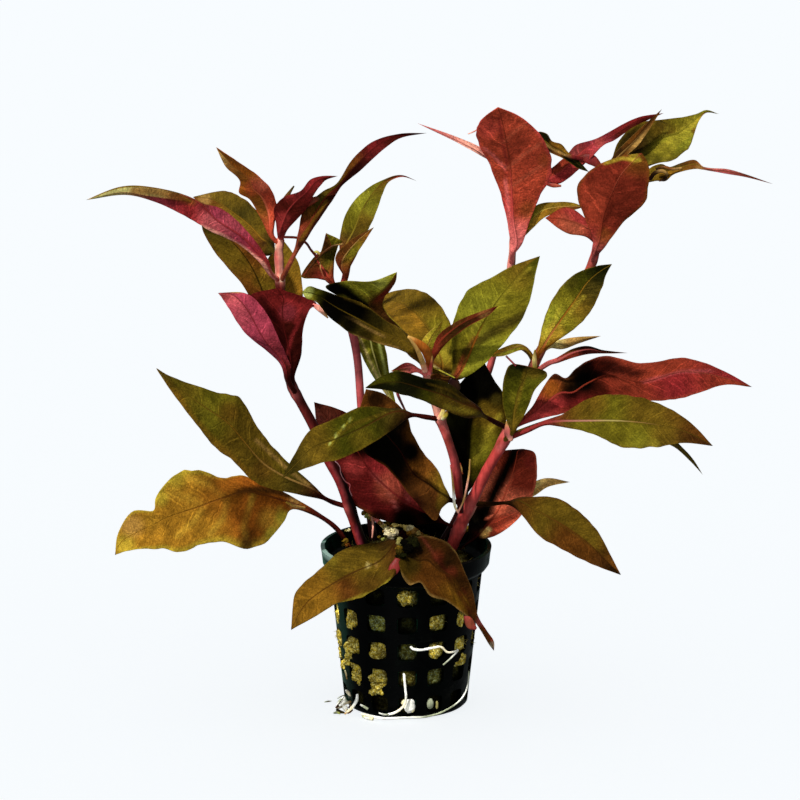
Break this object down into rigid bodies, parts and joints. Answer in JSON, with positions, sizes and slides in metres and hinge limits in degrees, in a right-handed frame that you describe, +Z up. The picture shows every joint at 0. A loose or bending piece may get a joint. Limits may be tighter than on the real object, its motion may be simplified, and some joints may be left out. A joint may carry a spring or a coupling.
{
  "type": "potted aquarium plant",
  "caption": "Bunch of reddish and olive lance-shaped leaves on upright stems, rooted in a growing-wool plug inside a small black lattice net pot, for planting an aquarium.",
  "frame": {"origin": "centre of the pot's flat base, where the pot stands on a surface", "axes": "+X to the picture's right, along the plant's longest extent; +Y away from the picture's viewer; +Z up along the pot's axis"},
  "size_m": [0.1955, 0.0834, 0.1797],
  "materials": {
    "pot": "satin black plastic with a green cast",
    "wool": "matted mineral fibre, stained yellow-brown",
    "stem": "smooth wet stem, red to pink",
    "leaf": "satin leaf, olive to bronze",
    "red_leaf": "satin leaf, brick red to crimson",
    "root": "smooth pale root"
  },
  "bodies": {
    "root": {"net_pot": "pot", "rock_wool_plug": "wool", "stem_left": "stem", "stem_back_left": "stem", "stem_middle": "stem", "stem_right": "stem", "stem_back_right": "stem", "leaf_left_long_twisted": "red_leaf", "leaf_left_olive_high": "leaf", "leaf_left_olive_low": "leaf", "leaf_left_behind": "leaf", "leaf_left_bronze": "red_leaf", "leaf_left_top_crimson": "red_leaf", "leaf_left_arching": "red_leaf", "leaf_left_pink": "red_leaf", "leaf_left_crimson": "red_leaf", "leaf_left_lower": "leaf", "leaf_left_golden": "leaf", "leaf_back_left_green": "leaf", "leaf_back_left_brown": "leaf", "leaf_back_left_folded": "leaf", "leaf_pale_hanging": "leaf", "leaf_middle_dark": "leaf", "leaf_middle_flap": "leaf", "leaf_middle_broad": "leaf", "leaf_middle_young": "leaf", "leaf_middle_maroon": "red_leaf", "leaf_middle_small_red": "red_leaf", "leaf_middle_bright": "leaf", "leaf_middle_left": "leaf", "leaf_dark_arching": "leaf", "leaf_dark_upright": "leaf", "leaf_heart_brown": "leaf", "leaf_heart_crimson": "red_leaf", "leaf_front_left": "leaf", "leaf_front_right": "leaf", "leaf_right_lower": "leaf", "leaf_right_crimson_back": "red_leaf", "leaf_right_tan_back": "leaf", "leaf_right_red": "red_leaf", "leaf_right_green": "leaf", "leaf_right_tail": "leaf", "leaf_right_cupped": "leaf", "leaf_right_upper_green": "leaf", "leaf_right_tan": "leaf", "leaf_right_thin": "red_leaf", "leaf_right_olive_arch": "leaf", "leaf_top_right_small_crimson": "red_leaf", "leaf_top_right_red": "red_leaf", "leaf_top_right_olive": "leaf", "leaf_top_right_brown": "leaf", "leaf_top_right_curled": "leaf", "leaf_top_brick_red": "red_leaf", "leaf_top_pink_thin": "red_leaf", "leaf_top_dark_curled": "leaf", "leaf_top_red_long": "red_leaf", "leaf_top_olive_arch": "leaf", "root_front": "root", "root_middle": "root", "root_bottom": "root"}
  },
  "joints": []
}
